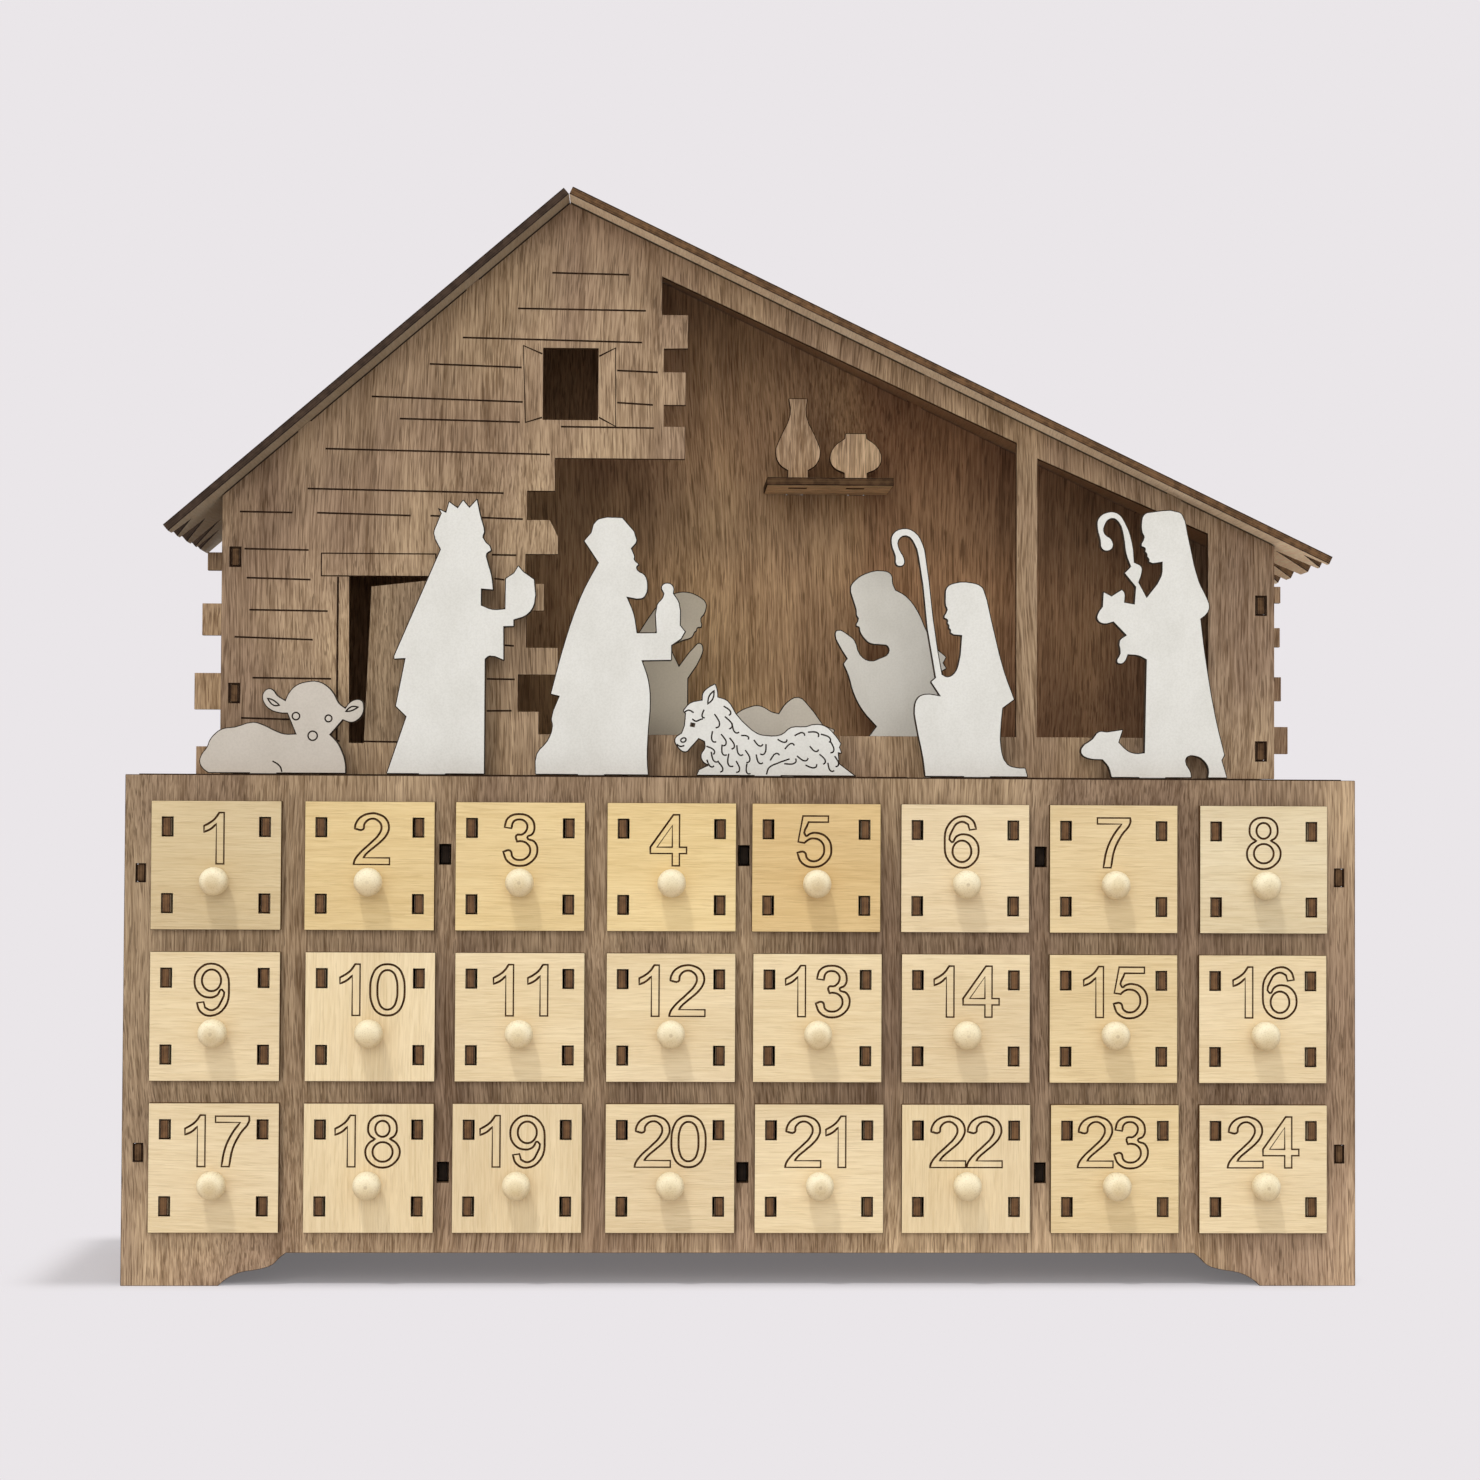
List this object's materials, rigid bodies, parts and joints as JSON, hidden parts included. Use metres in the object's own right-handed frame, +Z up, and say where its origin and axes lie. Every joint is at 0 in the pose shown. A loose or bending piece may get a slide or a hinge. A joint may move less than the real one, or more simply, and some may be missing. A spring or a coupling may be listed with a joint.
{
  "type": "advent calendar",
  "caption": "Wooden advent calendar: a gabled stable with cut-out nativity figures stands on a low chest of small numbered pull-out drawers with turned pegs.",
  "frame": {"origin": "on the surface it stands on, in the middle of the footprint of its bounding box", "axes": "+X to the right seen from the front, +Y to the back, +Z up; the drawers pull out along -Y"},
  "size_m": [0.4, 0.1, 0.3584],
  "materials": {
    "front_panel": "dull walnut stain, edges charred dark by the laser",
    "back_panel": "dull walnut stain, edges charred dark by the laser",
    "side_panel_left": "dull walnut stain, edges charred dark by the laser",
    "side_panel_right": "dull walnut stain, edges charred dark by the laser",
    "top_panel": "dull walnut stain, edges charred dark by the laser",
    "bottom_panel": "dull walnut stain, edges charred dark by the laser",
    "row_shelf_1": "dull walnut stain, edges charred dark by the laser",
    "row_shelf_2": "dull walnut stain, edges charred dark by the laser",
    "divider_1": "dull walnut stain, edges charred dark by the laser",
    "divider_2": "dull walnut stain, edges charred dark by the laser",
    "divider_3": "dull walnut stain, edges charred dark by the laser",
    "house_front_wall": "dull walnut stain, edges charred dark by the laser",
    "house_back_wall": "dull walnut stain, edges charred dark by the laser",
    "house_side_left": "dull walnut stain, edges charred dark by the laser",
    "house_side_right": "dull walnut stain, edges charred dark by the laser",
    "roof_left": "dull walnut stain, edges charred dark by the laser",
    "roof_right": "dull walnut stain, edges charred dark by the laser",
    "wall_shelf": "dull walnut stain, edges charred dark by the laser",
    "vase_tall": "dull walnut stain, edges charred dark by the laser",
    "vase_round": "dull walnut stain, edges charred dark by the laser",
    "ox": "thin matt white paint on plywood, edges cream",
    "crowned_king": "thin matt white paint on plywood, edges cream",
    "turbaned_king": "thin matt white paint on plywood, edges cream",
    "woolly_animal": "thin matt white paint on plywood, edges cream",
    "kneeling_shepherd": "thin matt white paint on plywood, edges cream",
    "standing_shepherd": "thin matt white paint on plywood, edges cream",
    "kneeling_mother": "thin matt white paint on plywood, edges cream",
    "manger_with_baby": "thin matt white paint on plywood, edges cream",
    "kneeling_father": "thin matt white paint on plywood, edges cream",
    "drawer": "bare pale basswood plywood with a plain turned peg"
  },
  "bodies": {
    "cabinet": {"front_panel": "front_panel", "back_panel": "back_panel", "side_panel_left": "side_panel_left", "side_panel_right": "side_panel_right", "top_panel": "top_panel", "bottom_panel": "bottom_panel", "row_shelf_1": "row_shelf_1", "row_shelf_2": "row_shelf_2", "divider_1": "divider_1", "divider_2": "divider_2", "divider_3": "divider_3", "house_front_wall": "house_front_wall", "house_back_wall": "house_back_wall", "house_side_left": "house_side_left", "house_side_right": "house_side_right", "roof_left": "roof_left", "roof_right": "roof_right", "wall_shelf": "wall_shelf", "vase_tall": "vase_tall", "vase_round": "vase_round", "ox": "ox", "crowned_king": "crowned_king", "turbaned_king": "turbaned_king", "woolly_animal": "woolly_animal", "kneeling_shepherd": "kneeling_shepherd", "standing_shepherd": "standing_shepherd", "kneeling_mother": "kneeling_mother", "manger_with_baby": "manger_with_baby", "kneeling_father": "kneeling_father"},
    "drawer_01": {"drawer_01": "drawer"},
    "drawer_02": {"drawer_02": "drawer"},
    "drawer_03": {"drawer_03": "drawer"},
    "drawer_04": {"drawer_04": "drawer"},
    "drawer_05": {"drawer_05": "drawer"},
    "drawer_06": {"drawer_06": "drawer"},
    "drawer_07": {"drawer_07": "drawer"},
    "drawer_08": {"drawer_08": "drawer"},
    "drawer_09": {"drawer_09": "drawer"},
    "drawer_10": {"drawer_10": "drawer"},
    "drawer_11": {"drawer_11": "drawer"},
    "drawer_12": {"drawer_12": "drawer"},
    "drawer_13": {"drawer_13": "drawer"},
    "drawer_14": {"drawer_14": "drawer"},
    "drawer_15": {"drawer_15": "drawer"},
    "drawer_16": {"drawer_16": "drawer"},
    "drawer_17": {"drawer_17": "drawer"},
    "drawer_18": {"drawer_18": "drawer"},
    "drawer_19": {"drawer_19": "drawer"},
    "drawer_20": {"drawer_20": "drawer"},
    "drawer_21": {"drawer_21": "drawer"},
    "drawer_22": {"drawer_22": "drawer"},
    "drawer_23": {"drawer_23": "drawer"},
    "drawer_24": {"drawer_24": "drawer"}
  },
  "joints": [
    {"name": "drawer_01_slide", "type": "slide", "parent": "cabinet", "child": "drawer_01", "axis": [0, -1, 0], "range_m": [0, 0.065]},
    {"name": "drawer_02_slide", "type": "slide", "parent": "cabinet", "child": "drawer_02", "axis": [0, -1, 0], "range_m": [0, 0.065]},
    {"name": "drawer_03_slide", "type": "slide", "parent": "cabinet", "child": "drawer_03", "axis": [0, -1, 0], "range_m": [0, 0.065]},
    {"name": "drawer_04_slide", "type": "slide", "parent": "cabinet", "child": "drawer_04", "axis": [0, -1, 0], "range_m": [0, 0.065]},
    {"name": "drawer_05_slide", "type": "slide", "parent": "cabinet", "child": "drawer_05", "axis": [0, -1, 0], "range_m": [0, 0.065]},
    {"name": "drawer_06_slide", "type": "slide", "parent": "cabinet", "child": "drawer_06", "axis": [0, -1, 0], "range_m": [0, 0.065]},
    {"name": "drawer_07_slide", "type": "slide", "parent": "cabinet", "child": "drawer_07", "axis": [0, -1, 0], "range_m": [0, 0.065]},
    {"name": "drawer_08_slide", "type": "slide", "parent": "cabinet", "child": "drawer_08", "axis": [0, -1, 0], "range_m": [0, 0.065]},
    {"name": "drawer_09_slide", "type": "slide", "parent": "cabinet", "child": "drawer_09", "axis": [0, -1, 0], "range_m": [0, 0.065]},
    {"name": "drawer_10_slide", "type": "slide", "parent": "cabinet", "child": "drawer_10", "axis": [0, -1, 0], "range_m": [0, 0.065]},
    {"name": "drawer_11_slide", "type": "slide", "parent": "cabinet", "child": "drawer_11", "axis": [0, -1, 0], "range_m": [0, 0.065]},
    {"name": "drawer_12_slide", "type": "slide", "parent": "cabinet", "child": "drawer_12", "axis": [0, -1, 0], "range_m": [0, 0.065]},
    {"name": "drawer_13_slide", "type": "slide", "parent": "cabinet", "child": "drawer_13", "axis": [0, -1, 0], "range_m": [0, 0.065]},
    {"name": "drawer_14_slide", "type": "slide", "parent": "cabinet", "child": "drawer_14", "axis": [0, -1, 0], "range_m": [0, 0.065]},
    {"name": "drawer_15_slide", "type": "slide", "parent": "cabinet", "child": "drawer_15", "axis": [0, -1, 0], "range_m": [0, 0.065]},
    {"name": "drawer_16_slide", "type": "slide", "parent": "cabinet", "child": "drawer_16", "axis": [0, -1, 0], "range_m": [0, 0.065]},
    {"name": "drawer_17_slide", "type": "slide", "parent": "cabinet", "child": "drawer_17", "axis": [0, -1, 0], "range_m": [0, 0.065]},
    {"name": "drawer_18_slide", "type": "slide", "parent": "cabinet", "child": "drawer_18", "axis": [0, -1, 0], "range_m": [0, 0.065]},
    {"name": "drawer_19_slide", "type": "slide", "parent": "cabinet", "child": "drawer_19", "axis": [0, -1, 0], "range_m": [0, 0.065]},
    {"name": "drawer_20_slide", "type": "slide", "parent": "cabinet", "child": "drawer_20", "axis": [0, -1, 0], "range_m": [0, 0.065]},
    {"name": "drawer_21_slide", "type": "slide", "parent": "cabinet", "child": "drawer_21", "axis": [0, -1, 0], "range_m": [0, 0.065]},
    {"name": "drawer_22_slide", "type": "slide", "parent": "cabinet", "child": "drawer_22", "axis": [0, -1, 0], "range_m": [0, 0.065]},
    {"name": "drawer_23_slide", "type": "slide", "parent": "cabinet", "child": "drawer_23", "axis": [0, -1, 0], "range_m": [0, 0.065]},
    {"name": "drawer_24_slide", "type": "slide", "parent": "cabinet", "child": "drawer_24", "axis": [0, -1, 0], "range_m": [0, 0.065]}
  ]
}
